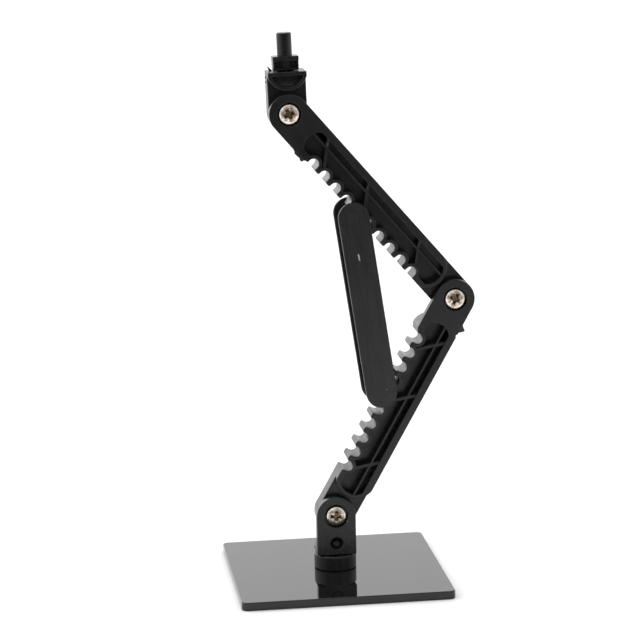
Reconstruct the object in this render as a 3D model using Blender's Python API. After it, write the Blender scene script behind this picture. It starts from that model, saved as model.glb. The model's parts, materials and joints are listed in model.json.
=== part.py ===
"""Articulated display arm: two notched links on a square base, held open by a flat brace.

Frame: metres, +Z up, +X right, +Y to the rear. The origin is the centre of the base plate's
underside, on the swivel axis. Every pivot is a single-lap joint: a thin front lug lies against a
thicker rear lug, and one screw goes through both.
"""

import math

import bmesh
import bpy
from mathutils import Vector

MM = 0.001

# Joints and pose
PIVOT_PITCH = 100 * MM
PIVOT_HEIGHT = 22.6 * MM
LOWER_ANGLE = math.radians(60.35)
UPPER_ANGLE = math.radians(130.4)
HEAD_ANGLE = math.radians(91.5)

# Base plate, collar and bracket
PLATE_SIDE = 84.6 * MM
PLATE_THICKNESS = 3.4 * MM
PLATE_CORNER_RADIUS = 2.5 * MM
PLATE_EDGE_BEVEL = 0.3 * MM
COLLAR_RADIUS = 8.5 * MM
COLLAR_HEIGHT = 6.5 * MM
DENT_RADIUS = 2.7 * MM
DENT_DEPTH = 2 * MM
DENT_DROP = 11.4 * MM

# Links
THICKNESS = 12.6 * MM
HALF_WIDTH = 7.9 * MM
REAR_LUG_RADIUS = 7.65 * MM
REAR_LUG_DROP = 0.25 * MM
RIM_RADIUS = 8.1 * MM
RIM_TIP = 9.3 * MM
RIM_CENTRE = RIM_TIP + RIM_RADIUS
FRONT_LUG_THICKNESS = 4 * MM
LAP_GAP = 0.3 * MM
TOOTH_STEP = 82 * MM
TOOTH_STEP_LENGTH = 0.8 * MM

# Notches
NOTCH_COUNT = 10
NOTCH_PITCH = 6.5 * MM
FIRST_NOTCH = 21 * MM
NOTCH_RADIUS = 2.1 * MM
NOTCH_DEPTH_LINE = 5.8 * MM
TOOTH_TIP_LINE = 7.3 * MM
TOOTH_ROUNDING = 0.5 * MM

# Pockets and ribs of the links
WEB_THICKNESS = 2 * MM
SPINE_WALL = 3 * MM
SCALLOP_WALL = 1.35 * MM
RIM_WALL = 1.4 * MM
POCKET_END = 11.6 * MM
POCKET_END_RADIUS = 5.9 * MM
POCKET_TOP_LINE = 4.9 * MM
RIB_SINK = 0.4 * MM
LONG_RIB_LINE = -2.2 * MM
LONG_RIB_WIDTH = 1 * MM
CROSS_RIB_WIDTH = 1.4 * MM
CROSS_RIB_SLANT = math.radians(40)
CROSS_RIBS = (20 * MM, 44 * MM, 75 * MM)

# Pivot screws and nuts
SCREW_RADIUS = 2 * MM
SCREW_HEAD_RADIUS = 4 * MM
SCREW_HEAD_HEIGHT = 2.5 * MM
SCREW_HEAD_RIM = 1.3 * MM
COUNTERBORE_RADIUS = 4.7 * MM
COUNTERBORE_DEPTH = 2.2 * MM
CLEARANCE_HOLE_RADIUS = 2.3 * MM
RECESS_LENGTH = 4.6 * MM
RECESS_WIDTH = 1.1 * MM
RECESS_DEPTH = 1.5 * MM
NUT_FLATS = 7 * MM
NUT_HEIGHT = 3 * MM
NUT_BORE_RADIUS = 2.15 * MM
NUT_POCKET_FLATS = 7.6 * MM
NUT_POCKET_DEPTH = 3.4 * MM

# Base screw and nut
BASE_SCREW_RADIUS = 1.5 * MM
BASE_SCREW_HEAD_RADIUS = 3 * MM
BASE_SCREW_HEAD_LIP = 0.3 * MM
BASE_SCREW_LENGTH = 15.5 * MM
BASE_NUT_FLATS = 5.5 * MM
BASE_NUT_HEIGHT = 2.4 * MM
BASE_NUT_BASE = 12 * MM
BASE_NUT_SLOT_WIDTH = 6.1 * MM
BASE_NUT_SLOT_HEIGHT = 3 * MM

# Head block and stud adapter, heights from the head pivot
HEAD_HALF_WIDTH = 7.6 * MM
HEAD_TOP = 16.6 * MM
SOCKET_CLEARANCE = 0.3 * MM
SOCKET_BOTTOM_GAP = 0.3 * MM
HEAD_POCKET_BAR = 1.5 * MM
HEAD_POCKET_DEPTH = 4 * MM
FLANGE_WIDTH = 10.2 * MM
FLANGE_DEPTH = 6.6 * MM
FLANGE_THICKNESS = 1.9 * MM
NECK_HEIGHT = 3.9 * MM
NECK_RIB = 2.4 * MM
NECK_WALL = 1.8 * MM
NECK_WIDTH = 10 * MM
NECK_DEPTH = 6.4 * MM
TENON_WIDTH = 6.2 * MM
TENON_THICKNESS = 3 * MM
TENON_LENGTH = 4.2 * MM
STUD_RADIUS = 2.95 * MM
STUD_LENGTH = 9.1 * MM
STUD_CHAMFER = 0.4 * MM

# Brace
STRUT_LENGTH = 84 * MM
STRUT_WIDTH = 12.4 * MM
STRUT_PLATE_THICKNESS = 1.5 * MM
STRUT_INNER_GAP = 13.2 * MM
STRUT_OFFSET = 1 * MM
STRUT_NOTCH = 4
PIN_SEAT = 1.1 * MM
PIN_RADIUS = 1.5 * MM
SPIGOT_RADIUS = 1 * MM
SPIGOT_HOLE_RADIUS = 1.3 * MM
BLIND_SPIGOT = 0.8 * MM
BLIND_HOLE = 1.1 * MM
RETAINER_RADIUS = 2.6 * MM
RETAINER_THICKNESS = 0.6 * MM
SPIGOT_STAND_OUT = 0.5 * MM

GAP = 0.3 * MM
PAST = 1 * MM
ROUND_STEPS = 32
FRONT = -THICKNESS / 2
BACK = THICKNESS / 2
LAP = FRONT + FRONT_LUG_THICKNESS
BLACK_PLASTIC = ((0.022, 0.022, 0.023), 0.42, 0.0)
GLOSSY_BLACK = ((0.012, 0.012, 0.013), 0.08, 0.0)
NICKEL = ((0.72, 0.68, 0.62), 0.28, 1.0)
ZINC = ((0.62, 0.63, 0.64), 0.35, 1.0)


def clear_scene():
    for thing in list(bpy.data.objects):
        bpy.data.objects.remove(thing)


def principled(name, look):
    colour, roughness, metallic = look
    material = bpy.data.materials.new(name)
    material.use_nodes = True
    shader = material.node_tree.nodes["Principled BSDF"]
    shader.inputs["Base Color"].default_value = (*colour, 1)
    shader.inputs["Roughness"].default_value = roughness
    shader.inputs["Metallic"].default_value = metallic
    return material


# Outlines are lists of (x, z) points; arcs run from one angle to another in degrees.
def arc(centre, radius, start, end, steps):
    points = []
    for step in range(steps + 1):
        angle = math.radians(start + (end - start) * step / steps)
        points.append((centre[0] + radius * math.cos(angle), centre[1] + radius * math.sin(angle)))
    return points


def rounded_rectangle(width, height, radius, steps):
    x = width / 2 - radius
    z = height / 2 - radius
    corners = (((x, z), 0), ((-x, z), 90), ((-x, -z), 180), ((x, -z), 270))
    points = []
    for centre, start in corners:
        points += arc(centre, radius, start, start + 90, steps)
    return points


def rectangle(x0, z0, x1, z1):
    return [(x0, z0), (x1, z0), (x1, z1), (x0, z1)]


def turned(points, angle, centre=(0, 0)):
    """The outline turned by angle, with its origin moved to centre."""
    c = math.cos(angle)
    s = math.sin(angle)
    return [(centre[0] + x * c - z * s, centre[1] + x * s + z * c) for x, z in points]


def hexagon(flats, start=0):
    """Six corners, the first at this angle in degrees."""
    return arc((0, 0), flats / math.sqrt(3), start, start + 300, 5)


def link(name, mesh):
    thing = bpy.data.objects.new(name, mesh)
    bpy.context.scene.collection.objects.link(thing)
    return thing


def finish_mesh(name, bm):
    bmesh.ops.recalc_face_normals(bm, faces=bm.faces)
    mesh = bpy.data.meshes.new(name)
    bm.to_mesh(mesh)
    bm.free()
    return link(name, mesh)


def prism(name, outline, y0, y1):
    """A straight solid with this (x, z) outline, from y0 to y1."""
    bm = bmesh.new()
    face = bm.faces.new([bm.verts.new((x, y0, z)) for x, z in outline])
    side = bmesh.ops.extrude_face_region(bm, geom=[face])
    moved = [item for item in side["geom"] if isinstance(item, bmesh.types.BMVert)]
    bmesh.ops.translate(bm, vec=(0, y1 - y0, 0), verts=moved)
    return finish_mesh(name, bm)


def turned_solid(name, profile, steps=ROUND_STEPS):
    """A solid of revolution about Y from (radius, y) points; a radius of 0 closes an end."""
    bm = bmesh.new()
    rings = []
    for radius, y in profile:
        if radius == 0:
            rings.append([bm.verts.new((0, y, 0))])
            continue
        ring = []
        for x, z in arc((0, 0), radius, 0, 360 * (steps - 1) / steps, steps - 1):
            ring.append(bm.verts.new((x, y, z)))
        rings.append(ring)
    closed = rings + [rings[0]] if len(rings[0]) > 1 else rings
    for near, far in zip(closed, closed[1:]):
        for step in range(steps):
            after = (step + 1) % steps
            corners = [near[step % len(near)], near[after % len(near)]]
            corners += [far[after % len(far)], far[step % len(far)]]
            bm.faces.new(list(dict.fromkeys(corners)))
    return finish_mesh(name, bm)


def stand_up(thing):
    """Turn a solid made along Y so that it stands along +Z."""
    for vertex in thing.data.vertices:
        x, y, z = vertex.co
        vertex.co = Vector((x, -z, y))
    return thing


def move(thing, x=0.0, y=0.0, z=0.0):
    for vertex in thing.data.vertices:
        vertex.co += Vector((x, y, z))
    return thing


def combine(target, other, operation):
    """Apply one exact Boolean to target and remove the other object."""
    modifier = target.modifiers.new(operation, "BOOLEAN")
    modifier.operation = operation
    modifier.solver = "EXACT"
    modifier.object = other
    bpy.context.view_layer.update()
    graph = bpy.context.evaluated_depsgraph_get()
    result = bpy.data.meshes.new_from_object(target.evaluated_get(graph))
    target.modifiers.clear()
    target.data = result
    bpy.data.objects.remove(other)
    return target


def cut(target, *cutters):
    for cutter in cutters:
        combine(target, cutter, "DIFFERENCE")
    return target


def join(target, *others):
    for other in others:
        combine(target, other, "UNION")
    return target


def lap_cutter(pivot, direction, front):
    """What a lap joint takes away in front of or behind a lug, up to the round rim of the body."""
    reach = 1.5 * RIM_RADIUS
    outline = [(-reach, reach), (-reach, -reach), (RIM_CENTRE, -reach)]
    outline += arc((RIM_CENTRE, 0), RIM_RADIUS, 270, 90, 20)
    outline.append((RIM_CENTRE, reach))
    outline = turned(outline, direction, (pivot, 0))
    near = FRONT - PAST if front else LAP - LAP_GAP / 2
    far = LAP + LAP_GAP / 2 if front else BACK + PAST
    return prism("lap_cutter", outline, near, far)


def screw_hole(pivot):
    """Counterbore and clearance hole of a front lug."""
    floor = FRONT + COUNTERBORE_DEPTH
    profile = [(0, FRONT - PAST), (COUNTERBORE_RADIUS, FRONT - PAST), (COUNTERBORE_RADIUS, floor)]
    end = LAP + PAST
    profile += [(CLEARANCE_HOLE_RADIUS, floor), (CLEARANCE_HOLE_RADIUS, end), (0, end)]
    return move(turned_solid("screw_hole", profile), x=pivot)


def nut_hole(pivot):
    """Clearance hole and hex pocket of a rear lug."""
    low = LAP - PAST
    top = BACK + PAST
    profile = [(0, low), (CLEARANCE_HOLE_RADIUS, low), (CLEARANCE_HOLE_RADIUS, top), (0, top)]
    hole = turned_solid("nut_hole", profile)
    pocket = prism("nut_pocket", hexagon(NUT_POCKET_FLATS), BACK - NUT_POCKET_DEPTH, top + PAST)
    return move(join(hole, pocket), x=pivot)


def notch_place(number):
    """Distance of a notch from the rear lug's pivot; number 0 is next to the front lug."""
    return PIVOT_PITCH - FIRST_NOTCH - number * NOTCH_PITCH


def notch_outline(place):
    """One notch, from its lower tooth to its upper one."""
    shoulder = NOTCH_RADIUS + TOOTH_ROUNDING
    corner_line = TOOTH_TIP_LINE - TOOTH_ROUNDING
    points = arc((place - shoulder, corner_line), TOOTH_ROUNDING, 90, 0, 2)
    points += arc((place, NOTCH_DEPTH_LINE), NOTCH_RADIUS, 180, 360, 8)
    points += arc((place + shoulder, corner_line), TOOTH_ROUNDING, 180, 90, 2)
    return points


def arm_outline():
    rear_tip = math.degrees(math.asin((TOOTH_TIP_LINE + REAR_LUG_DROP) / REAR_LUG_RADIUS))
    points = arc((PIVOT_PITCH, 0), HALF_WIDTH, -90, 90, 20)
    points += [(TOOTH_STEP + TOOTH_STEP_LENGTH, HALF_WIDTH), (TOOTH_STEP, TOOTH_TIP_LINE)]
    for number in range(NOTCH_COUNT):
        points += reversed(notch_outline(notch_place(number)))
    return points + arc((0, -REAR_LUG_DROP), REAR_LUG_RADIUS, rear_tip, 270, 18)


def pocket_limits(place):
    """Lowest and highest line of a link's pocket at this distance from the rear lug's pivot."""
    low = SPINE_WALL - HALF_WIDTH
    high = POCKET_TOP_LINE
    radius = RIM_RADIUS - RIM_WALL
    if place < RIM_CENTRE:
        reach = math.sqrt(max(radius**2 - (RIM_CENTRE - place) ** 2, 0))
        low = max(low, -reach)
        high = min(high, reach)
    past_centre = place - (PIVOT_PITCH - POCKET_END - POCKET_END_RADIUS)
    if past_centre > 0:
        reach = math.sqrt(max(POCKET_END_RADIUS**2 - past_centre**2, 0))
        low = max(low, -reach)
        high = min(high, reach)
    scallop = NOTCH_RADIUS + SCALLOP_WALL
    for number in range(NOTCH_COUNT):
        off = abs(place - notch_place(number))
        if off < scallop:
            high = min(high, NOTCH_DEPTH_LINE - math.sqrt(scallop**2 - off**2))
    return low, high


def pocket_outline():
    """The pocket follows the notches in scallops and the round rim of the body."""
    start = RIM_CENTRE - RIM_RADIUS + RIM_WALL
    end = PIVOT_PITCH - POCKET_END
    places = [start + 0.15 * MM, start + 0.8 * MM, start + 2.2 * MM]
    step = NOTCH_PITCH / 6
    place = notch_place(NOTCH_COUNT - 1) - 5 * step
    while place < end - step:
        places.append(place)
        place += step
    places += [end - 0.8 * MM, end - 0.15 * MM]
    lower = [(place, pocket_limits(place)[0]) for place in places]
    upper = [(place, pocket_limits(place)[1]) for place in places]
    return lower + upper[::-1]


def rib(centre, angle, length, width):
    bar = rectangle(-length / 2, -width / 2, length / 2, width / 2)
    return prism("rib", turned(bar, angle, centre), FRONT + RIB_SINK, 0)


def pocket_cutter():
    """The front pocket of a link, with its ribs left standing."""
    pocket = prism("pocket", pocket_outline(), FRONT - PAST, -WEB_THICKNESS / 2)
    cut(pocket, rib((PIVOT_PITCH / 2, LONG_RIB_LINE), 0, PIVOT_PITCH, LONG_RIB_WIDTH))
    for distance in CROSS_RIBS:
        centre = (PIVOT_PITCH - distance, LONG_RIB_LINE)
        slant = math.pi / 2 + CROSS_RIB_SLANT
        cut(pocket, rib(centre, slant, 3 * HALF_WIDTH, CROSS_RIB_WIDTH))
    return pocket


def rear_pocket_cutter():
    """The same pocket and ribs, mirrored to the back."""
    pocket = pocket_cutter()
    for vertex in pocket.data.vertices:
        x, y, z = vertex.co
        vertex.co = Vector((x, -y, z))
    pocket.data.flip_normals()
    return pocket


def arm(name):
    body = prism(name, arm_outline(), FRONT, BACK)
    cut(body, lap_cutter(0, 0, True), lap_cutter(PIVOT_PITCH, math.pi, False))
    cut(body, pocket_cutter(), rear_pocket_cutter())
    return cut(body, screw_hole(PIVOT_PITCH), nut_hole(0))


def pivot_screw(name):
    """Pan-head screw along Y with a cross recess; the head is at the front."""
    under = FRONT + COUNTERBORE_DEPTH - GAP
    top = under - SCREW_HEAD_HEIGHT
    rim = under - SCREW_HEAD_RIM
    dome = 5
    profile = [(0, top)]
    for step in range(1, dome + 1):
        angle = math.pi / 2 * step / dome
        height = (rim - top) * (1 - math.cos(angle))
        profile.append((SCREW_HEAD_RADIUS * math.sin(angle), top + height))
    end = BACK - GAP
    profile += [(SCREW_HEAD_RADIUS, under), (SCREW_RADIUS, under)]
    profile += [(SCREW_RADIUS, end - SCREW_RADIUS / 4), (0.75 * SCREW_RADIUS, end), (0, end)]
    screw = turned_solid(name, profile)
    long = RECESS_LENGTH / 2
    wide = RECESS_WIDTH / 2
    cross = [(long, -wide), (long, wide), (wide, wide), (wide, long), (-wide, long), (-wide, wide)]
    cross += [(-x, -z) for x, z in cross]
    return cut(screw, prism("recess", cross, top - PAST, top + RECESS_DEPTH))


def nut(name, flats, y0, y1, bore, start=0):
    body = prism(name, hexagon(flats, start), y0, y1)
    profile = [(0, y0 - PAST), (bore, y0 - PAST), (bore, y1 + PAST), (0, y1 + PAST)]
    return cut(body, turned_solid("bore", profile))


def pivot_nut(name):
    base = BACK - NUT_POCKET_DEPTH + GAP
    return nut(name, NUT_FLATS, base, base + NUT_HEIGHT, NUT_BORE_RADIUS)


def base_plate():
    outline = rounded_rectangle(PLATE_SIDE, PLATE_SIDE, PLATE_CORNER_RADIUS, 5)
    plate = stand_up(prism("base_plate", outline, 0, PLATE_THICKNESS))
    bevel = plate.modifiers.new("edge", "BEVEL")
    bevel.width = PLATE_EDGE_BEVEL
    bevel.segments = 1
    bevel.limit_method = "ANGLE"
    bevel.angle_limit = math.radians(60)
    bpy.context.view_layer.update()
    graph = bpy.context.evaluated_depsgraph_get()
    plate.data = bpy.data.meshes.new_from_object(plate.evaluated_get(graph))
    plate.modifiers.clear()
    wide = BASE_SCREW_HEAD_RADIUS + GAP
    narrow = BASE_SCREW_RADIUS + GAP
    lip = BASE_SCREW_HEAD_LIP
    profile = [(0, -PAST), (wide, -PAST), (wide, lip), (narrow, lip + wide - narrow)]
    profile += [(narrow, PLATE_THICKNESS + PAST), (0, PLATE_THICKNESS + PAST)]
    return cut(plate, stand_up(turned_solid("countersink", profile)))


def base_collar():
    """Round collar with a bore; its top edge is slightly chamfered."""
    bore = BASE_SCREW_RADIUS + GAP
    low = PLATE_THICKNESS + GAP
    high = PLATE_THICKNESS + COLLAR_HEIGHT - GAP
    chamfer = 0.4 * MM
    profile = [(bore, low), (COLLAR_RADIUS, low), (COLLAR_RADIUS, high - chamfer)]
    profile += [(COLLAR_RADIUS - chamfer, high), (bore, high)]
    return stand_up(turned_solid("base_collar", profile, 48))


def base_screw():
    """Countersunk screw, flush with the plate's underside."""
    profile = [(0, 0), (BASE_SCREW_HEAD_RADIUS, 0), (BASE_SCREW_HEAD_RADIUS, BASE_SCREW_HEAD_LIP)]
    cone = BASE_SCREW_HEAD_LIP + BASE_SCREW_HEAD_RADIUS - BASE_SCREW_RADIUS
    tip = BASE_SCREW_LENGTH - BASE_SCREW_RADIUS / 4
    profile += [(BASE_SCREW_RADIUS, cone), (BASE_SCREW_RADIUS, tip)]
    profile += [(0.75 * BASE_SCREW_RADIUS, BASE_SCREW_LENGTH), (0, BASE_SCREW_LENGTH)]
    return stand_up(turned_solid("base_screw", profile))


def base_nut():
    """Nut with two flats towards the sides of its slot."""
    top = BASE_NUT_BASE + BASE_NUT_HEIGHT
    bore = BASE_SCREW_RADIUS + GAP / 2
    return stand_up(nut("base_nut", BASE_NUT_FLATS, BASE_NUT_BASE, top, bore, 30))


def base_bracket():
    """Block with a front ear, made about the base pivot."""
    bottom = COLLAR_HEIGHT - PIVOT_HEIGHT
    outline = [(HALF_WIDTH, bottom)] + arc((0, 0), HALF_WIDTH, 0, 180, 20) + [(-HALF_WIDTH, bottom)]
    bracket = prism("base_bracket", outline, FRONT, BACK)
    cut(bracket, lap_cutter(0, -math.pi / 2, False), screw_hole(0))
    floor = -(PLATE_THICKNESS + PIVOT_HEIGHT)
    slot_base = floor + BASE_NUT_BASE - GAP
    half = BASE_NUT_SLOT_WIDTH / 2
    slot = rectangle(-half, slot_base, half, slot_base + BASE_NUT_SLOT_HEIGHT)
    cut(bracket, prism("nut_slot", slot, -half - 0.4 * MM, BACK + PAST))
    bore = BASE_SCREW_RADIUS + GAP
    reach = floor + BASE_SCREW_LENGTH + GAP
    profile = [(0, bottom - PAST), (bore, bottom - PAST), (bore, reach), (0, reach)]
    cut(bracket, stand_up(turned_solid("screw_bore", profile)))
    dent = [(0, FRONT - PAST), (DENT_RADIUS + PAST, FRONT - PAST)]
    for share in (0, 0.1, 0.3, 0.65, 1):
        dent.append((DENT_RADIUS * (1 - 0.5 * math.sqrt(share)), FRONT + DENT_DEPTH * share))
    dent.append((0, FRONT + DENT_DEPTH))
    return cut(bracket, move(turned_solid("dent", dent), z=-DENT_DROP))


def head_block():
    """Block with a rear lug, made about the head pivot."""
    outline = arc((0, 0), HEAD_HALF_WIDTH, -180, 0, 20)
    outline += [(HEAD_HALF_WIDTH, HEAD_TOP), (-HEAD_HALF_WIDTH, HEAD_TOP)]
    block = prism("head_block", outline, FRONT, BACK)
    cut(block, lap_cutter(0, math.pi / 2, True), nut_hole(0))
    radius = RIM_RADIUS - RIM_WALL
    top = HEAD_TOP - HEAD_POCKET_BAR
    edge = math.degrees(math.asin((RIM_CENTRE - top) / radius))
    moon = arc((0, RIM_CENTRE), radius, 180 + edge, 360 - edge, 16)
    cut(block, prism("moon", moon, FRONT - PAST, FRONT + HEAD_POCKET_DEPTH))
    width = TENON_WIDTH + 2 * SOCKET_CLEARANCE
    thickness = TENON_THICKNESS + 2 * SOCKET_CLEARANCE
    floor = HEAD_TOP - TENON_LENGTH - SOCKET_BOTTOM_GAP
    return cut(block, box("socket", width, thickness, floor, HEAD_TOP + PAST))


def box(name, width, depth, low, high):
    return prism(name, rectangle(-width / 2, low, width / 2, high), -depth / 2, depth / 2)


def stud_adapter():
    """Tenon, ribbed neck, flange and round stud, made about the head pivot."""
    low = HEAD_TOP + GAP
    flange = HEAD_TOP + NECK_HEIGHT
    top = flange + FLANGE_THICKNESS
    adapter = box("stud_adapter", FLANGE_WIDTH, FLANGE_DEPTH, flange, top)
    overlap = FLANGE_THICKNESS / 2
    neck_top = flange + overlap
    join(adapter, box("rib", NECK_RIB, NECK_DEPTH, low, neck_top))
    join(adapter, box("wall", NECK_WIDTH, NECK_WALL, low, neck_top))
    tenon_low = HEAD_TOP - TENON_LENGTH
    join(adapter, box("tenon", TENON_WIDTH, TENON_THICKNESS, tenon_low, low + overlap / 2))
    end = top + STUD_LENGTH
    profile = [(0, top - overlap), (STUD_RADIUS, top - overlap), (STUD_RADIUS, end - STUD_CHAMFER)]
    profile += [(STUD_RADIUS - STUD_CHAMFER, end), (0, end)]
    return join(adapter, stand_up(turned_solid("stud", profile)))


def strut_outline():
    """Round-ended plate; the outline sits a little outward of the line through the pins."""
    radius = STRUT_WIDTH / 2
    middle = pin_spacing() / 2
    half = STRUT_LENGTH / 2 - radius
    points = arc((middle + half, STRUT_OFFSET), radius, -90, 90, 16)
    return points + arc((middle - half, STRUT_OFFSET), radius, 90, 270, 16)


def strut_hole(x, y0, y1):
    profile = [(0, y0), (SPIGOT_HOLE_RADIUS, y0), (SPIGOT_HOLE_RADIUS, y1), (0, y1)]
    return move(turned_solid("spigot_hole", profile, 24), x=x)


def strut_front_plate():
    inner = -STRUT_INNER_GAP / 2
    plate = prism("strut_front_plate", strut_outline(), inner - STRUT_PLATE_THICKNESS, inner)
    for x in (0, pin_spacing()):
        cut(plate, strut_hole(x, inner - BLIND_HOLE, inner + PAST))
    return plate


def strut_rear_plate():
    inner = STRUT_INNER_GAP / 2
    plate = prism("strut_rear_plate", strut_outline(), inner, inner + STRUT_PLATE_THICKNESS)
    for x in (0, pin_spacing()):
        cut(plate, strut_hole(x, inner - PAST, inner + STRUT_PLATE_THICKNESS + PAST))
    return plate


def strut_pin(name, x):
    """Cross pin with a short blind spigot at the front and a through one at the back."""
    half = STRUT_INNER_GAP / 2 - GAP
    front_end = -half - GAP - BLIND_SPIGOT
    back_end = half + 2 * GAP + STRUT_PLATE_THICKNESS + RETAINER_THICKNESS + SPIGOT_STAND_OUT
    profile = [(0, front_end), (SPIGOT_RADIUS, front_end), (SPIGOT_RADIUS, -half), (PIN_RADIUS, -half)]
    profile += [(PIN_RADIUS, half), (SPIGOT_RADIUS, half), (SPIGOT_RADIUS, back_end), (0, back_end)]
    return move(turned_solid(name, profile, 24), x=x)


def strut_retainer(name, x):
    low = STRUT_INNER_GAP / 2 + STRUT_PLATE_THICKNESS + GAP
    high = low + RETAINER_THICKNESS
    bore = SPIGOT_RADIUS + GAP / 2
    profile = [(bore, low), (RETAINER_RADIUS, low), (RETAINER_RADIUS, high), (bore, high)]
    return move(turned_solid(name, profile, 24), x=x)


def direction(angle):
    return Vector((math.cos(angle), 0, math.sin(angle)))


def base_pivot():
    return Vector((0, 0, PLATE_THICKNESS + PIVOT_HEIGHT))


def elbow_pivot():
    return base_pivot() + PIVOT_PITCH * direction(LOWER_ANGLE)


def head_pivot():
    return elbow_pivot() + PIVOT_PITCH * direction(UPPER_ANGLE)


def seat(pivot, angle):
    """Where a brace pin lies in the chosen notch of the arm that starts at this pivot."""
    along = notch_place(STRUT_NOTCH) * direction(angle)
    outward = (NOTCH_DEPTH_LINE + PIN_SEAT) * direction(angle + math.pi / 2)
    return pivot + along + outward


def lower_seat():
    return seat(base_pivot(), LOWER_ANGLE)


def upper_seat():
    return seat(elbow_pivot(), UPPER_ANGLE)


def pin_spacing():
    return (upper_seat() - lower_seat()).length


def strut_angle():
    line = upper_seat() - lower_seat()
    return math.atan2(line.z, line.x)


def axis(name, place, angle):
    """An empty on a joint's axis, turned so that its X (or Z, on the head) follows its link."""
    empty = bpy.data.objects.new(name, None)
    empty.location = place
    empty.rotation_euler = (0, -angle, 0)
    empty.empty_display_size = 0.01
    bpy.context.scene.collection.objects.link(empty)
    return empty


def attach(parent, look, *things):
    for thing in things:
        thing.parent = parent
        thing.data.materials.clear()
        thing.data.materials.append(principled(thing.name, look))
        thing.data.shade_smooth()
        thing.data.set_sharp_from_angle(angle=math.radians(35))


def build_base():
    ground = axis("base_axis", Vector(), 0)
    attach(ground, GLOSSY_BLACK, base_plate())
    attach(ground, BLACK_PLASTIC, base_collar())
    attach(ground, ZINC, base_screw())
    swivel = axis("base_swivel_axis", Vector(), 0)
    attach(swivel, ZINC, base_nut())
    bracket_axis = axis("base_bracket_axis", base_pivot(), 0)
    attach(bracket_axis, BLACK_PLASTIC, base_bracket())


def build_arms():
    lower = axis("base_tilt_axis", base_pivot(), LOWER_ANGLE)
    upper = axis("elbow_axis", elbow_pivot(), UPPER_ANGLE)
    attach(lower, BLACK_PLASTIC, arm("lower_arm"))
    attach(lower, NICKEL, pivot_screw("base_pivot_screw"))
    attach(lower, ZINC, pivot_nut("base_pivot_nut"))
    attach(upper, BLACK_PLASTIC, arm("upper_arm"))
    attach(upper, NICKEL, pivot_screw("elbow_screw"))
    attach(upper, ZINC, pivot_nut("elbow_nut"))


def build_head():
    head = axis("head_tilt_axis", head_pivot(), HEAD_ANGLE - math.pi / 2)
    attach(head, BLACK_PLASTIC, head_block(), stud_adapter())
    attach(head, NICKEL, pivot_screw("head_screw"))
    attach(head, ZINC, pivot_nut("head_nut"))


def build_strut():
    strut = axis("strut_swing_axis", lower_seat(), strut_angle())
    attach(strut, BLACK_PLASTIC, strut_front_plate(), strut_rear_plate())
    attach(strut, ZINC, strut_pin("strut_lower_pin", 0), strut_pin("strut_upper_pin", pin_spacing()))
    attach(strut, ZINC, strut_retainer("strut_lower_retainer", 0))
    attach(strut, ZINC, strut_retainer("strut_upper_retainer", pin_spacing()))


clear_scene()
build_base()
build_arms()
build_head()
build_strut()
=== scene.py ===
"""Looks of the articulated display arm: rounded moulded plastic, a polished base plate, nickel
pan-head screws with real cross recesses and threads, chamfered nuts and small moulding marks.

Metres, +Z up. Each piece is brought to the frame of its own body, which comes from the joints, and is
then moved to its place. In a link's frame X runs from its lower pivot to its upper one and Z points
to its notched side. In every body's frame -Y is the front.
"""

import json
import math

import bmesh
import bpy
from mathutils import Matrix, Vector


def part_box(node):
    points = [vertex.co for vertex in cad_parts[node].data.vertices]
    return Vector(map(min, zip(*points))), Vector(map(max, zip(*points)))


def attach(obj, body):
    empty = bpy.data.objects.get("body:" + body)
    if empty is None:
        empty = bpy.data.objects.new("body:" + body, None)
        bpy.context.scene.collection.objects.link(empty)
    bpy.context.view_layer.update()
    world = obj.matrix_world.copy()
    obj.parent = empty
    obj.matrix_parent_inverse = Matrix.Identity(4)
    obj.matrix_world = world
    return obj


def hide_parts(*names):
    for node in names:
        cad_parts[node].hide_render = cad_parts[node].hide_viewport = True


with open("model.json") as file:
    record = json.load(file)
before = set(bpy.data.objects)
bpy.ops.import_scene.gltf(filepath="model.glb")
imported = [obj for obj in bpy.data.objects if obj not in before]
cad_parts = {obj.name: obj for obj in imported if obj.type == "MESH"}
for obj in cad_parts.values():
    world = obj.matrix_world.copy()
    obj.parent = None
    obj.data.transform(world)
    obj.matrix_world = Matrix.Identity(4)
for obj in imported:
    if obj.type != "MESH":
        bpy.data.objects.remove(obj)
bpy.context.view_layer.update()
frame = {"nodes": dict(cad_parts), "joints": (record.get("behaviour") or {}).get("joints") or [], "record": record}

MM = 0.001

# Camera
CAMERA_AZIMUTH = math.radians(-7.01)
CAMERA_ELEVATION = math.radians(11.6)
CAMERA_ROLL = math.radians(-1.2)
CAMERA_DISTANCE = 1034.6 * MM
CAMERA_TARGET = Vector((-4.21, 0, 105.68)) * MM
CAMERA_LENS = 146.04
SENSOR_WIDTH = 36

# Rounding of edges
PLASTIC_EDGE = 0.28 * MM
STRUT_EDGE = 0.4 * MM
SHEET_EDGE = 0.12 * MM
COLLAR_EDGE = 0.15 * MM
ADAPTER_EDGE = 0.18 * MM
METAL_EDGE = 0.08 * MM
EDGE_SEGMENTS = 3
SHARP = math.radians(30)
FLAT = math.radians(0.4)

# Pivot screws and nuts
ROUND = 48
HEAD_RADIUS = 4 * MM
HEAD_HEIGHT = 2.5 * MM
HEAD_RIM = 1.3 * MM
HEAD_CHAMFER = 0.15 * MM
SHANK_RADIUS = 2 * MM
THREAD_PITCH = 0.7 * MM
THREAD_DEPTH = 0.3 * MM
THREAD_RELIEF = 0.5 * MM
RECESS_LENGTH = 5.2 * MM
RECESS_WIDTH = 1.5 * MM
RECESS_DEPTH = 1.6 * MM
RECESS_TURN = math.radians(25)
NUT_FLATS = 7 * MM
NUT_BORE = 2.15 * MM
NUT_CHAMFER = math.radians(30)
NUT_SINK = 0.3 * MM
NUT_THREAD_DEPTH = 0.2 * MM

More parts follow.
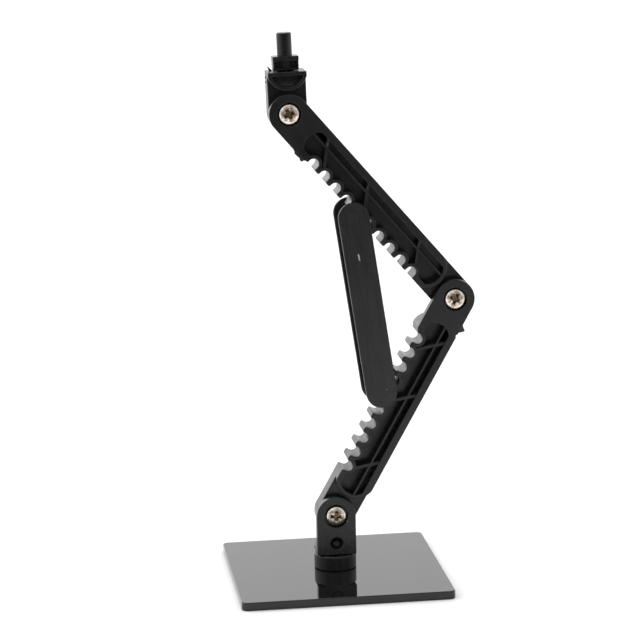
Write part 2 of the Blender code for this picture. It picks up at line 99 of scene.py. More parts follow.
# Base screw and nut
BASE_HEAD_RADIUS = 3 * MM
BASE_HEAD_LIP = 0.3 * MM
BASE_SHANK_RADIUS = 1.5 * MM
BASE_THREAD_PITCH = 0.5 * MM
BASE_THREAD_DEPTH = 0.22 * MM
BASE_THREAD_RELIEF = 0.4 * MM
BASE_RECESS_LENGTH = 3.4 * MM
BASE_RECESS_WIDTH = 1 * MM
BASE_RECESS_DEPTH = 1.1 * MM
BASE_NUT_FLATS = 5.5 * MM
BASE_NUT_BORE = 1.65 * MM

# Moulding marks, in their bodies' frames
WEB = 1 * MM
EJECTOR_MARKS = (32 * MM, 60 * MM)
EJECTOR_LINE = 1.6 * MM
EJECTOR_RADIUS = 1.1 * MM
MARK_DEPTH = 0.12 * MM
MARK_WIDTH = 0.22 * MM
TEETH_SPAN = (26 * MM, 80 * MM)
HEAD_NUBS = (12.2 * MM, 14.0 * MM)
HEAD_NUB_LINE = -7.5 * MM
HEAD_NUB_RADIUS = 0.45 * MM
NECK_WALL_REACH = 3.15 * MM
DENT_DROP = 11.4 * MM
STRUT_MARK = (73 * MM, 1.6 * MM)
STRUT_MARK_RADIUS = 2.8 * MM
SCAR_RISE = 0.18 * MM
SCAR_ROOT = 0.3 * MM
SCAR_EDGE = 0.05 * MM

# Floor, from its front edge before the piece
FLOOR_SIZE = 12
FLOOR_FRONT = 0.62
FLOOR_DROP = 0.02 * MM

# How far a cutting body reaches past what it cuts
PAST = 0.2 * MM


def joint_place(name):
    return Vector(next(j["pos_m"] for j in frame["joints"] if j["name"] == name))


def middle(node):
    low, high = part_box(node)
    return (low + high) / 2


def link_frame(start, end):
    """A frame at start whose X runs to end, with Y to the rear."""
    line = (end - start).normalized()
    side = Vector((0, 1, 0))
    return Matrix.Translation(start) @ Matrix((line, side, line.cross(side))).transposed().to_4x4()


def body_frames():
    base = joint_place("base_tilt")
    elbow = joint_place("elbow")
    head = joint_place("head_tilt")
    brace = joint_place("brace_swing")
    stud = next(m for m in frame["record"]["mounts"] if m["name"] == "stud_top")
    upper_pin = middle("strut_upper_pin")
    upper_pin.y = brace.y
    head_up = Vector(stud["axis"])
    return {
        "base": Matrix.Identity(4),
        "swivel": Matrix.Translation(base),
        "lower_link": link_frame(base, elbow),
        "upper_link": link_frame(elbow, head),
        "head": link_frame(head, head + Vector((0, 1, 0)).cross(head_up)),
        "brace": link_frame(brace, upper_pin),
    }


FRAMES = body_frames()
BODY_OF = {n: b for b, ns in frame["record"]["behaviour"]["bodies"].items() for n in ns}


# Mesh helpers
def arc(centre, radius, start, end, steps):
    points = []
    for step in range(steps + 1):
        angle = math.radians(start + (end - start) * step / steps)
        points.append((centre[0] + radius * math.cos(angle), centre[1] + radius * math.sin(angle)))
    return points


def mesh_object(name, bm):
    bmesh.ops.recalc_face_normals(bm, faces=bm.faces)
    mesh = bpy.data.meshes.new(name)
    bm.to_mesh(mesh)
    bm.free()
    thing = bpy.data.objects.new(name, mesh)
    bpy.context.scene.collection.objects.link(thing)
    return thing


def loft(name, sections):
    """A closed solid through sections, each a list of (x, y, z) points of the same length."""
    bm = bmesh.new()
    rings = [[bm.verts.new(point) for point in section] for section in sections]
    count = len(rings[0])
    for near, far in zip(rings, rings[1:]):
        for i in range(count):
            j = (i + 1) % count
            bm.faces.new((near[i], near[j], far[j], far[i]))
    bm.faces.new(rings[0])
    bm.faces.new(rings[-1])
    return mesh_object(name, bm)


def prism(name, outline, y0, y1):
    return loft(name, [[(x, y, z) for x, z in outline] for y in (y0, y1)])


def lathe(name, profile, steps=ROUND):
    """A solid of revolution about Y from (radius, y) points; each radius may be a function of turn."""
    bm = bmesh.new()
    rings = []
    for radius, y in profile:
        if radius == 0:
            rings.append([bm.verts.new((0, y, 0))])
            continue
        ring = []
        for step in range(steps):
            turn = step / steps
            r = radius(turn) if callable(radius) else radius
            ring.append(bm.verts.new((r * math.cos(math.tau * turn), y, r * math.sin(math.tau * turn))))
        rings.append(ring)
    closed = rings + [rings[0]] if len(rings[0]) > 1 else rings
    for near, far in zip(closed, closed[1:]):
        for step in range(steps):
            after = (step + 1) % steps
            corners = [near[step % len(near)], near[after % len(near)]]
            corners += [far[after % len(far)], far[step % len(far)]]
            bm.faces.new(list(dict.fromkeys(corners)))
    return mesh_object(name, bm)


def combine(target, other, operation):
    modifier = target.modifiers.new(operation, "BOOLEAN")
    modifier.operation = operation
    modifier.solver = "EXACT"
    modifier.object = other
    bpy.context.view_layer.update()
    graph = bpy.context.evaluated_depsgraph_get()
    result = bpy.data.meshes.new_from_object(target.evaluated_get(graph))
    target.modifiers.clear()
    target.data = result
    bpy.data.objects.remove(other)
    return target


def round_edges(thing, width, segments=EDGE_SEGMENTS, sharp=SHARP):
    """Join the flat triangles, then round the outer corners with real faces."""
    bm = bmesh.new()
    bm.from_mesh(thing.data)
    bmesh.ops.remove_doubles(bm, verts=bm.verts, dist=0.002 * MM)
    bmesh.ops.dissolve_limit(
        bm, angle_limit=FLAT, use_dissolve_boundaries=False, verts=bm.verts, edges=bm.edges
    )
    corners = [
        edge
        for edge in bm.edges
        if edge.is_manifold and edge.is_convex and edge.calc_face_angle(0) > sharp
    ]
    bmesh.ops.bevel(
        bm, geom=corners, offset=width, offset_type="OFFSET", segments=segments, profile=0.5,
        affect="EDGES", clamp_overlap=False, miter_outer="SHARP", harden_normals=False,
    )
    bmesh.ops.remove_doubles(bm, verts=bm.verts, dist=0.001 * MM)
    bm.to_mesh(thing.data)
    bm.free()
    return thing


def smooth(thing, angle=35):
    thing.data.shade_smooth()
    thing.data.set_sharp_from_angle(angle=math.radians(angle))
    weighted = thing.modifiers.new("weighted", "WEIGHTED_NORMAL")
    weighted.keep_sharp = True
    return thing


def set_down(thing, body, name, material):
    """Move a piece made in its body's frame to its place; "place" keeps its points in that frame."""
    thing.name = name
    thing.data.name = name
    place_of = thing.data.attributes.new("place", "FLOAT_VECTOR", "POINT")
    for kept, vertex in zip(place_of.data, thing.data.vertices):
        kept.vector = vertex.co
    thing.data.transform(FRAMES[body])
    thing.data.materials.clear()
    thing.data.materials.append(material)
    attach(thing, body)
    return thing


def settle(thing, node, material):
    """Put a finished piece in the stead of its CAD node."""
    set_down(thing, BODY_OF[node], node + "_surface", material)
    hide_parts(node)
    return thing


def copy_of(node):
    """The CAD node's mesh in its body's frame, as a new object."""
    mesh = frame["nodes"][node].data.copy()
    mesh.transform(FRAMES[BODY_OF[node]].inverted())
    thing = bpy.data.objects.new(node, mesh)
    bpy.context.scene.collection.objects.link(thing)
    return thing


# Material helpers
def new_material(name, colour, roughness, metallic=0.0):
    material = bpy.data.materials.new(name)
    material.use_nodes = True
    shader = material.node_tree.nodes["Principled BSDF"]
    shader.inputs["Base Color"].default_value = (*colour, 1)
    shader.inputs["Roughness"].default_value = roughness
    shader.inputs["Metallic"].default_value = metallic
    return material, material.node_tree, shader


def add(tree, kind, settings=None, **inputs):
    """A node whose inputs take numbers, vectors or another node's output."""
    node = tree.nodes.new(kind)
    for key, value in (settings or {}).items():
        setattr(node, key, value)
    for key, value in inputs.items():
        socket = node.inputs[int(key[1:])] if key[1:].isdigit() else node.inputs[key.replace("_", " ")]
        if isinstance(value, bpy.types.NodeSocket):
            tree.links.new(value, socket)
        else:
            socket.default_value = value
    return node


def place(tree, stretch=(1, 1, 1), turn=(0, 0, 0)):
    """A point of the piece in its body's frame, in metres."""
    kept = add(tree, "ShaderNodeAttribute", {"attribute_name": "place"})
    mapping = add(tree, "ShaderNodeMapping", Scale=stretch, Rotation=turn, Vector=kept.outputs["Vector"])
    return mapping.outputs["Vector"]


def place_parts(tree):
    """The X, Y and Z of a point of the piece in its body's frame."""
    return add(tree, "ShaderNodeSeparateXYZ", i0=place(tree)).outputs


def noise(tree, vector, scale, detail=3.0, rough=0.55):
    made = add(tree, "ShaderNodeTexNoise", Vector=vector, Scale=scale, Detail=detail, Roughness=rough)
    return made.outputs["Fac"]


def span(tree, value, low, high, to_low, to_high):
    ranged = add(tree, "ShaderNodeMapRange", i0=value, i1=low, i2=high, i3=to_low, i4=to_high)
    return ranged.outputs["Result"]


def maths(tree, operation, first, second=0.0):
    return add(tree, "ShaderNodeMath", {"operation": operation}, i0=first, i1=second).outputs[0]


def times(tree, first, second):
    return maths(tree, "MULTIPLY", first, second)


def ramp(tree, value, stops):
    """A colour ramp through (position, colour) stops."""
    made = add(tree, "ShaderNodeValToRGB", i0=value)
    elements = made.color_ramp.elements
    while len(elements) < len(stops):
        elements.new(0.5)
    for element, (position, colour) in zip(elements, stops):
        element.position = position
        element.color = (*colour, 1)
    return made.outputs["Color"]


def mix(tree, share, first, second):
    made = add(tree, "ShaderNodeMixRGB", i0=share, i1=first, i2=second)
    return made.outputs[0]


def bump(tree, height, distance, strength=1.0, normal=None):
    made = add(tree, "ShaderNodeBump", Height=height, Distance=distance, Strength=strength)
    if normal is not None:
        tree.links.new(normal, made.inputs["Normal"])
    return made.outputs["Normal"]


def edge_share(tree, low=0.52, high=0.6):
    """1 on the outer corners of a piece, 0 elsewhere."""
    geometry = tree.nodes.new("ShaderNodeNewGeometry")
    return span(tree, geometry.outputs["Pointiness"], low, high, 0.0, 1.0)


def painted_recess_shade(tree):
    """Mask for painted shade: 1 on a face that lies near the body's mid-plane and faces its front or rear, 0 on
    walls.
    """
    parts = place_parts(tree)
    deep = span(tree, maths(tree, "ABSOLUTE", parts[1]), 4.2 * MM, 2.4 * MM, 0.0, 1.0)
    facing = add(tree, "ShaderNodeSeparateXYZ", i0=tree.nodes.new("ShaderNodeTexCoord").outputs["Normal"])
    level = span(tree, maths(tree, "ABSOLUTE", facing.outputs[1]), 0.6, 0.95, 0.0, 1.0)
    return times(tree, deep, level)


def specks(tree, vector, scale, share):
    """Scattered dust: 1 inside a few small dots."""
    cells = add(tree, "ShaderNodeTexVoronoi", Vector=vector, Scale=scale)
    dot = span(tree, cells.outputs["Distance"], 0.1, 0.16, 1.0, 0.0)
    chosen = add(tree, "ShaderNodeSeparateColor", i0=cells.outputs["Color"])
    rare = maths(tree, "GREATER_THAN", chosen.outputs[0], 1 - share)
    return times(tree, dot, rare)


def black_plastic(name, flow=(0.15, 1, 1), fineness=260, pale=0.008):
    """Moulded black plastic: fine grain, soft flow lines, recess floors darkened with painted shade, paler
    corners, dust.
    """
    material, tree, shader = new_material(name, (0.01, 0.01, 0.01), 0.35)
    shader.inputs["Specular IOR Level"].default_value = 0.38
    vector = place(tree)
    flowing = noise(tree, place(tree, flow), fineness, 4)
    mottle = noise(tree, vector, 90, 5)
    colour = ramp(tree, flowing, [(0.35, (0.004, 0.004, 0.0041)), (0.65, (pale, pale, 1.02 * pale))])
    colour = mix(tree, span(tree, mottle, 0.35, 0.7, 0.0, 0.4), colour, (0.004, 0.004, 0.004, 1))
    # Painted shade: the recess floors' colour is mixed toward near-black to stand in for the shade that falls in
    # the pockets.
    colour = mix(tree, painted_recess_shade(tree), colour, (0.0025, 0.0025, 0.0025, 1))
    patchy = span(tree, noise(tree, vector, 700), 0.4, 0.65, 0.1, 0.6)
    worn = times(tree, edge_share(tree), patchy)
    colour = mix(tree, worn, colour, (0.035, 0.035, 0.035, 1))
    colour = mix(tree, specks(tree, vector, 450, 0.002), colour, (0.16, 0.16, 0.155, 1))
    tree.links.new(colour, shader.inputs["Base Color"])
    patches = span(tree, mottle, 0.3, 0.7, -0.03, 0.05)
    roughness = maths(tree, "ADD", span(tree, flowing, 0.3, 0.7, 0.24, 0.33), patches)
    tree.links.new(roughness, shader.inputs["Roughness"])
    grain = bump(tree, noise(tree, vector, 2600, 3), 0.012 * MM)
    waves = bump(tree, flowing, 0.03 * MM, 0.6, grain)
    tree.links.new(waves, shader.inputs["Normal"])
    return material


def polished_sheet():
    """Polished black sheet: mirror-like, with hairline scratches, faint smudges and dust."""
    material, tree, shader = new_material("glossy_sheet", (0.008, 0.008, 0.0085), 0.03)
    shader.inputs["Specular IOR Level"].default_value = 0.45
    vector = place(tree)
    smudge = span(tree, noise(tree, vector, 38, 4, 0.6), 0.5, 0.75, 0.0, 0.07)
    scratches = None
    for turn in (0.4, 1.3, 2.4):
        line = noise(tree, place(tree, (1, 0.02, 1), (0, 0, turn)), 2600, 1)
        line = span(tree, line, 0.72, 0.78, 0.0, 1.0)
        scratches = line if scratches is None else maths(tree, "MAXIMUM", scratches, line)
    dust = specks(tree, vector, 700, 0.004)
    shades = [(0.35, (0.006, 0.006, 0.0065)), (0.7, (0.010, 0.010, 0.0105))]
    base = ramp(tree, noise(tree, vector, 60), shades)
    tree.links.new(mix(tree, dust, base, (0.12, 0.12, 0.115, 1)), shader.inputs["Base Color"])
    rough = maths(tree, "ADD", maths(tree, "ADD", smudge, 0.025), times(tree, scratches, 0.12))
    rough = maths(tree, "ADD", rough, times(tree, dust, 0.4))
    tree.links.new(rough, shader.inputs["Roughness"])
    ripple = bump(tree, noise(tree, vector, 25, 2), 0.02 * MM, 0.5)
    tree.links.new(bump(tree, scratches, 0.002 * MM, 0.5, ripple), shader.inputs["Normal"])
    return material


def from_axis(tree):
    """The distance from the Y axis of the body's frame."""
    parts = place_parts(tree)
    flat = add(tree, "ShaderNodeCombineXYZ", i0=parts[0], i2=parts[2])
    length = add(tree, "ShaderNodeVectorMath", {"operation": "LENGTH"}, i0=flat.outputs[0])
    return length.outputs["Value"]


def turned_rings(tree, pitch):
    """Fine rings about the Y axis, as a lathe leaves them."""
    return maths(tree, "SINE", times(tree, from_axis(tree), math.tau / pitch))


def nickel():
    """Nickel plate: warm and turned, brown with grime in and about its cross recess."""
    material, tree, shader = new_material("nickel_screw", (0.85, 0.79, 0.70), 0.2, 1.0)
    vector = place(tree)
    tarnish = noise(tree, vector, 900, 5, 0.65)
    shades = [(0.34, (0.58, 0.50, 0.40)), (0.5, (0.84, 0.77, 0.67)), (0.66, (0.93, 0.88, 0.8))]
    colour = ramp(tree, tarnish, shades)
    inner = span(tree, from_axis(tree), 3.4 * MM, 2.6 * MM, 0.0, 1.0)
    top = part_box("elbow_screw")[0].y
    depth = place_parts(tree)[1]
    within_head = span(tree, depth, top + 2.2 * MM, top + 2.4 * MM, 1.0, 0.0)
    sunk = times(tree, span(tree, depth, top + 0.1 * MM, top + 0.9 * MM, 0.0, 1.0), within_head)
    smeared = times(tree, inner, span(tree, tarnish, 0.47, 0.6, 0.85, 0.0))
    grime = maths(tree, "MAXIMUM", times(tree, inner, sunk), smeared)
    colour = mix(tree, grime, colour, (0.19, 0.13, 0.08, 1))
    tree.links.new(colour, shader.inputs["Base Color"])
    rough = maths(tree, "ADD", span(tree, tarnish, 0.3, 0.7, 0.26, 0.12), times(tree, grime, 0.15))
    tree.links.new(rough, shader.inputs["Roughness"])
    rings = bump(tree, turned_rings(tree, 0.22 * MM), 0.006 * MM, 0.7)
    tree.links.new(bump(tree, noise(tree, vector, 2600, 3), 0.02 * MM, 0.8, rings), shader.inputs["Normal"])
    return material


def zinc():
    """Bright zinc plate: cool grey, spangled a little, duller in patches."""
    material, tree, shader = new_material("zinc_steel", (0.62, 0.63, 0.64), 0.3, 1.0)
    vector = place(tree)
    cells = add(tree, "ShaderNodeTexVoronoi", Vector=vector, Scale=1400)
    shade = add(tree, "ShaderNodeSeparateColor", i0=cells.outputs["Color"])
    colour = ramp(tree, shade.outputs[0], [(0.0, (0.50, 0.52, 0.54)), (1.0, (0.70, 0.71, 0.71))])
    dull = noise(tree, vector, 500, 4)
    colour = mix(tree, span(tree, dull, 0.55, 0.75, 0.0, 0.5), colour, (0.42, 0.41, 0.38, 1))
    tree.links.new(colour, shader.inputs["Base Color"])
    tree.links.new(span(tree, dull, 0.3, 0.7, 0.22, 0.42), shader.inputs["Roughness"])
    tree.links.new(bump(tree, noise(tree, vector, 3000, 3), 0.012 * MM), shader.inputs["Normal"])
    return material


# Fasteners, made about Y with their head at the front
def thread_rows(start, end, radius, pitch, depth):
    """Rows of a helical thread; its depth grows from nothing at both ends."""
    rows = []
    steps = round((end - start) / pitch * 6)
    for step in range(steps + 1):
        y = start + (end - start) * step / steps
        fade = min(1, 6 * min(step, steps - step) / steps)

        def at(turn, y=y, fade=fade):
            phase = (y / pitch + turn) % 1
            return radius - fade * depth * abs(2 * phase - 1)

        rows.append((at, y))
    return rows


def cross_section(length, width, y):
    """The outline of a cross recess at depth y, as points."""
    long = length / 2
    wide = width / 2
    cross = [(long, -wide), (long, wide), (wide, wide), (wide, long), (-wide, long), (-wide, wide)]
    cross += [(-x, -z) for x, z in cross]
    c = math.cos(RECESS_TURN)
    s = math.sin(RECESS_TURN)
    return [(x * c - z * s, y, x * s + z * c) for x, z in cross]


def recess(top, length, width, depth):
    """A cross recess whose arms taper inward, with a conical well at its centre."""
    mouth = cross_section(length * 1.08, width * 1.04, top - 0.3 * MM)
    floor = cross_section(length * 0.45, width * 0.6, top + depth)
    cross = loft("recess", [mouth, floor])
    well = lathe("well", [(0, top - 0.3 * MM), (0.3 * length, top - 0.3 * MM), (0, top + 1.25 * depth)], 24)
    return combine(cross, well, "UNION")


def pan_screw(node):
    low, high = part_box(node)
    top = low.y
    under = top + HEAD_HEIGHT
    rim = under - HEAD_RIM
    profile = [(0, top)]
    dome = 10
    for step in range(1, dome + 1):
        angle = math.pi / 2 * step / dome
        profile.append((HEAD_RADIUS * math.sin(angle), rim - (rim - top) * math.cos(angle)))
    profile += [(HEAD_RADIUS, under - HEAD_CHAMFER), (HEAD_RADIUS - HEAD_CHAMFER, under)]
    profile += [(SHANK_RADIUS, under)]
    start = under + THREAD_RELIEF
    profile += thread_rows(start, high.y - THREAD_RELIEF, SHANK_RADIUS, THREAD_PITCH, THREAD_DEPTH)
    profile += [(0.75 * SHANK_RADIUS, high.y), (0, high.y)]
    screw = lathe(node, profile)
    combine(screw, recess(top, RECESS_LENGTH, RECESS_WIDTH, RECESS_DEPTH), "DIFFERENCE")
    return smooth(screw, 32)


def chamfered_nut(node, flats, bore, y0, y1, start=0):
    """A hexagon nut with its corners turned off on both faces and a countersunk bore."""
    body = prism(node, arc((0, 0), flats / math.sqrt(3), start, start + 300, 5), y0, y1)
    face = flats / 2
    corner = flats / math.sqrt(3) + 0.05 * MM
    drop = (corner - face) * math.tan(NUT_CHAMFER)
    limit = [(0, y0), (face, y0), (corner, y0 + drop), (corner, y1 - drop), (face, y1), (0, y1)]
    combine(body, lathe("limit", limit), "INTERSECT")
    mouth = bore + NUT_SINK + PAST
    profile = [(0, y0 - PAST), (mouth, y0 - PAST), (bore, y0 + NUT_SINK)]
    profile += thread_bore(bore, y0 + NUT_SINK, y1 - NUT_SINK)
    profile += [(bore, y1 - NUT_SINK), (mouth, y1 + PAST), (0, y1 + PAST)]
    combine(body, lathe("bore", profile), "DIFFERENCE")
    return smooth(body, 32)


def thread_bore(bore, y0, y1):
    """Rings that stand for the nut's own thread; they only widen its bore."""
    rows = []
    turns = max(2, round((y1 - y0) / THREAD_PITCH))
    for turn in range(turns):
        y = y0 + (y1 - y0) * (turn + 0.5) / turns
        rows += [(bore + NUT_THREAD_DEPTH, y), (bore, y0 + (y1 - y0) * (turn + 0.97) / turns)]
    return rows


def pivot_nut(node):
    low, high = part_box(node)
    return chamfered_nut(node, NUT_FLATS, NUT_BORE, low.y, high.y)


def stand_up(thing, body):
    """Turn a piece made along Y so that it stands along +Z, then bring it to its body's frame."""
    thing.data.transform(Matrix.Rotation(math.radians(90), 4, "X"))
    thing.data.transform(FRAMES[body].inverted())
    return thing


def base_screw():
    """Countersunk screw whose head, with a cross recess, is flush with the plate's underside."""
    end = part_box("base_screw")[1].z
    radius = BASE_SHANK_RADIUS
    cone = BASE_HEAD_LIP + BASE_HEAD_RADIUS - radius
    profile = [(0, 0), (BASE_HEAD_RADIUS, 0), (BASE_HEAD_RADIUS, BASE_HEAD_LIP), (radius, cone)]
    start = cone + BASE_THREAD_RELIEF
    stop = end - BASE_THREAD_RELIEF
    profile += thread_rows(start, stop, radius, BASE_THREAD_PITCH, BASE_THREAD_DEPTH)
    profile += [(0.75 * radius, end), (0, end)]
    screw = lathe("base_screw", profile)
    cross = recess(0, BASE_RECESS_LENGTH, BASE_RECESS_WIDTH, BASE_RECESS_DEPTH)
    combine(screw, cross, "DIFFERENCE")
    return smooth(stand_up(screw, "base"), 32)


def base_nut():
    low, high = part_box("base_nut")
    nut = chamfered_nut("base_nut", BASE_NUT_FLATS, BASE_NUT_BORE, low.z, high.z, 30)
    return stand_up(nut, "swivel")


# Moulding marks
def nub(outline, y0, y1, shrink=0.6):
    """A small torn tab; its tip is thinner than its root."""
    cx = sum(x for x, _ in outline) / len(outline)
    cz = sum(z for _, z in outline) / len(outline)
    inner = [(cx + (x - cx) * shrink, cz + (z - cz) * shrink) for x, z in outline]
    sections = [[(x, y0, z) for x, z in inner], [(x, y0 + 0.25 * (y1 - y0), z) for x, z in outline]]
    sections += [[(x, y1 - 0.25 * (y1 - y0), z) for x, z in outline], [(x, y1, z) for x, z in inner]]
    return loft("nub", sections)


def millimetres(*points):
    return [(x * MM, z * MM) for x, z in points]


def ejector_mark(x, z, floor, radius, direction):
    """A round witness of an ejector pin: a shallow ring cut into a pocket's floor."""
    near = floor - MARK_DEPTH * direction
    far = floor + 0.5 * MM * direction
    y0, y1 = sorted((near, far))
    inner = radius - MARK_WIDTH
    ring = lathe("mark", [(inner, y0), (radius, y0), (radius, y1), (inner, y1)], 36)
    for vertex in ring.data.vertices:
        vertex.co += Vector((x, 0, z))
    return ring


def slope_teeth(thing, side):
    """Let the teeth's outer ends lean back from the face on one side (-1 front, 1 rear)."""
    outline = millimetres((5.9, 6.31), (8.4, 5.97), (8.4, 6.9), (5.9, 6.9))
    wedge = [[(x, side * y, z) for z, y in outline] for x in TEETH_SPAN]
    return combine(thing, loft("wedge", wedge), "DIFFERENCE")


def arm(node, material):
    """A link, with ejector marks in its pockets and flash near its upper end."""
    thing = copy_of(node)
    slope_teeth(thing, -1)
    slope_teeth(thing, 1)
    round_edges(thing, PLASTIC_EDGE)
    for along in EJECTOR_MARKS:
        for direction in (-1, 1):
            mark = ejector_mark(along, EJECTOR_LINE, direction * WEB, EJECTOR_RADIUS, direction)
            combine(thing, mark, "DIFFERENCE")
    if node == "lower_arm":
        bite = millimetres((88.0, -8.3), (87.7, -7.5), (87.1, -7.35), (86.5, -7.6), (86.2, -8.3))
        combine(thing, nub(bite, -6.8 * MM, -1.2 * MM, 0.9), "DIFFERENCE")
        torn = millimetres((93.0, -7.3), (92.2, -8.2), (91.3, -8.9), (90.5, -10.0), (89.9, -10.1))
        torn += millimetres((88.7, -8.6), (88.1, -7.9), (88.3, -7.3))
        combine(thing, nub(torn, -5 * MM, -3 * MM), "UNION")
    else:
        torn = millimetres((88.9, 7.2), (88.5, 8.0), (87.6, 8.2), (87.1, 8.7), (86.2, 8.7), (84.2, 8.4))
        torn += millimetres((83.3, 8.9), (82.7, 8.6), (82.5, 7.2))
        combine(thing, nub(torn, -5.9 * MM, -4.7 * MM, 0.8), "UNION")
    return settle(smooth(thing), node, material)


def head(material):
    """The head block, with a sliver of flash at its top and two nubs on its left side."""
    thing = round_edges(copy_of("head_block"), PLASTIC_EDGE)
    sliver = millimetres((-7.0, 18.2), (-6.7, 18.4), (-5.6, 17.3), (-5.0, 16.3), (-6.1, 16.3))
    combine(thing, nub(sliver, 1 * MM, 1.7 * MM, 0.8), "UNION")
    for height in HEAD_NUBS:
        outline = arc((HEAD_NUB_LINE, height), HEAD_NUB_RADIUS, 0, 330, 11)
        combine(thing, nub(outline, 2.6 * MM, 3.6 * MM), "UNION")
    return settle(smooth(thing), "head_block", material)


def adapter(material):
    """The stud adapter; thin walls close the recesses of its neck."""
    thing = copy_of("stud_adapter")
    for left, right, high in ((-5, -4.4, 20.8), (4.4, 5, 20.8), (-5, 5, 17.6)):
        outline = millimetres((left, 16.9), (right, 16.9), (right, high), (left, high))
        combine(thing, prism("wall", outline, -NECK_WALL_REACH, NECK_WALL_REACH), "UNION")
    return settle(smooth(round_edges(thing, ADAPTER_EDGE)), "stud_adapter", material)


def bracket(material):
    """The base bracket, whose dent is a smooth bowl."""
    thing = round_edges(copy_of("base_bracket"), PLASTIC_EDGE)
    profile = millimetres((0, -6.9), (3.2, -6.9), (2.75, -6.3), (2.45, -6.0), (2.25, -5.4))
    profile += millimetres((1.95, -4.8), (1.55, -4.2), (0.9, -3.85), (0, -3.7))
    bowl = lathe("bowl", profile, 40)
    for vertex in bowl.data.vertices:
        vertex.co.z -= DENT_DROP
    combine(thing, bowl, "DIFFERENCE")
    return settle(smooth(thing), "base_bracket", material)


def front_plate(material):
    """The brace's front plate, with the round witness of an ejector pin near its upper end."""
    thing = round_edges(copy_of("strut_front_plate"), STRUT_EDGE)
    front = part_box("strut_front_plate")[0].y
    combine(thing, ejector_mark(*STRUT_MARK, front, STRUT_MARK_RADIUS, -1), "DIFFERENCE")
    return settle(smooth(thing), "strut_front_plate", material)


def gate_scar():
    """The pale torn ridge that the gate leaves on the brace's front plate."""
    material, tree, shader = new_material("torn_plastic", (0.3, 0.3, 0.29), 0.35)
    torn = noise(tree, place(tree), 2400, 4)
    colour = ramp(tree, torn, [(0.35, (0.10, 0.10, 0.10)), (0.6, (0.5, 0.5, 0.49))])
    tree.links.new(colour, shader.inputs["Base Color"])
    tree.links.new(bump(tree, torn, 0.06 * MM), shader.inputs["Normal"])
    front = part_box("strut_front_plate")[0].y
    ridge = millimetres((59.0, 1.5), (57.9, 1.85), (56.4, 1.7), (55.4, 1.3), (56.6, 1.1), (58.1, 1.2))
    thing = round_edges(nub(ridge, front - SCAR_RISE, front + SCAR_ROOT, 0.45), SCAR_EDGE, 2)
    return set_down(smooth(thing), "brace", "strut_gate_scar", material)


def rounded(node, material, width=PLASTIC_EDGE):
    return settle(smooth(round_edges(copy_of(node), width)), node, material)


def build_plastic():
    along = black_plastic("arm_plastic")
    upright = black_plastic("block_plastic", (1, 1, 0.15))
    arm("lower_arm", along)
    arm("upper_arm", along)
    head(upright)
    adapter(upright)
    bracket(upright)
    rounded("base_collar", upright, COLLAR_EDGE)
    sheet = black_plastic("strut_plastic", (0.03, 1, 1), 1500, 0.015)
    front_plate(sheet)
    rounded("strut_rear_plate", sheet, STRUT_EDGE)
    gate_scar()


def build_base():
    rounded("base_plate", polished_sheet(), SHEET_EDGE)


def build_fasteners():
    bright = nickel()
    plated = zinc()
    for node in ("base_pivot_screw", "elbow_screw", "head_screw"):
        settle(pan_screw(node), node, bright)
    for node in ("base_pivot_nut", "elbow_nut", "head_nut"):
        settle(pivot_nut(node), node, plated)
    settle(base_screw(), "base_screw", plated)
    settle(base_nut(), "base_nut", plated)
    for node in ("strut_lower_pin", "strut_upper_pin", "strut_lower_retainer", "strut_upper_retainer"):
        rounded(node, plated, METAL_EDGE)


# Setting
def build_floor():
    material, tree, shader = new_material("floor", (0.9, 0.9, 0.9), 0.9)
    shader.inputs["Specular IOR Level"].default_value = 0.1
    spread = tree.nodes.new("ShaderNodeTexCoord").outputs["Object"]
    tint = ramp(tree, noise(tree, spread, 3), [(0.3, (0.95, 0.95, 0.95)), (0.7, (0.97, 0.97, 0.97))])
    tree.links.new(tint, shader.inputs["Base Color"])
    centre = (0, FLOOR_SIZE / 2 - FLOOR_FRONT, -FLOOR_DROP)
    bpy.ops.mesh.primitive_plane_add(size=FLOOR_SIZE, location=centre)
    floor = bpy.context.object
    floor.name = "floor"
    floor.data.materials.append(material)


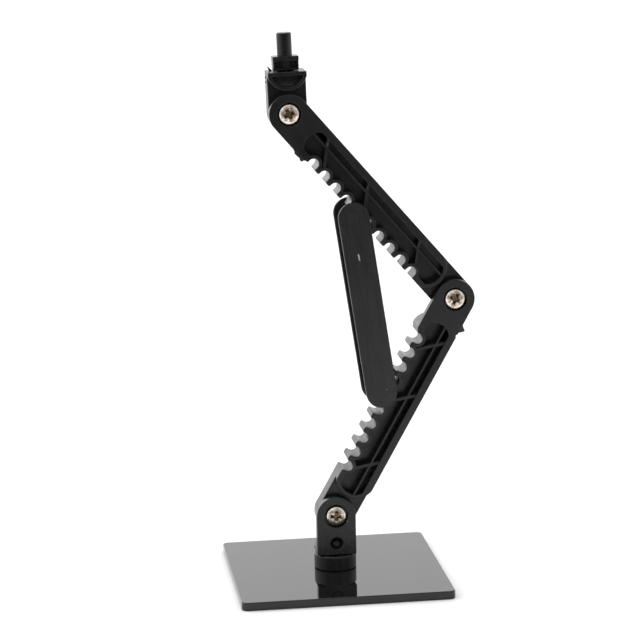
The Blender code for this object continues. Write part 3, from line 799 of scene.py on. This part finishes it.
def build_world():
    """White surroundings, dimmer before the piece and brighter on its left."""
    world = bpy.data.worlds.new("studio")
    bpy.context.scene.world = world
    world.use_nodes = True
    tree = world.node_tree
    background = tree.nodes["Background"]
    direction = tree.nodes.new("ShaderNodeTexCoord")
    parts = add(tree, "ShaderNodeSeparateXYZ", i0=direction.outputs["Generated"])
    depthwise = span(tree, parts.outputs[1], -0.9, 0.1, 0.1, 1.42)
    light = times(tree, depthwise, span(tree, parts.outputs[0], -0.5, 0.5, 1.4, 0.9))
    seen = tree.nodes.new("ShaderNodeLightPath").outputs["Is Camera Ray"]
    strength = maths(tree, "MAXIMUM", light, times(tree, seen, 1.2))
    tree.links.new(strength, background.inputs["Strength"])
    background.inputs["Color"].default_value = (1, 1, 1, 1)


def area_light(name, place_at, target, size, power):
    lamp = bpy.data.lights.new(name, "AREA")
    lamp.shape = "RECTANGLE"
    lamp.size, lamp.size_y = size
    lamp.energy = power
    thing = bpy.data.objects.new(name, lamp)
    bpy.context.scene.collection.objects.link(thing)
    thing.location = place_at
    thing.rotation_euler = (Vector(target) - Vector(place_at)).to_track_quat("-Z", "Y").to_euler()


def build_lights():
    area_light("key", (-0.3, -1.3, 0.7), (0, 0, 0.1), (1.2, 0.7), 2)
    area_light("fill", (0.8, -1.1, 0.5), (0, 0, 0.1), (0.7, 0.7), 1)


def build_camera():
    a = CAMERA_AZIMUTH
    e = CAMERA_ELEVATION
    back = Vector((math.sin(a) * math.cos(e), -math.cos(a) * math.cos(e), math.sin(e)))
    right = Vector((math.cos(a), math.sin(a), 0))
    up = back.cross(right)
    turned_right = right * math.cos(CAMERA_ROLL) + up * math.sin(CAMERA_ROLL)
    turned_up = up * math.cos(CAMERA_ROLL) - right * math.sin(CAMERA_ROLL)
    data = bpy.data.cameras.new("camera")
    data.lens = CAMERA_LENS
    data.sensor_width = SENSOR_WIDTH
    data.clip_start = 0.01
    data.clip_end = 50
    camera = bpy.data.objects.new("camera", data)
    bpy.context.scene.collection.objects.link(camera)
    axes = Matrix((turned_right, turned_up, back)).transposed().to_4x4()
    camera.matrix_world = Matrix.Translation(CAMERA_TARGET + back * CAMERA_DISTANCE) @ axes
    bpy.context.scene.camera = camera


build_camera()
build_world()
build_lights()
build_floor()
build_base()
build_plastic()
build_fasteners()
bpy.context.scene.view_settings.view_transform = "Standard"
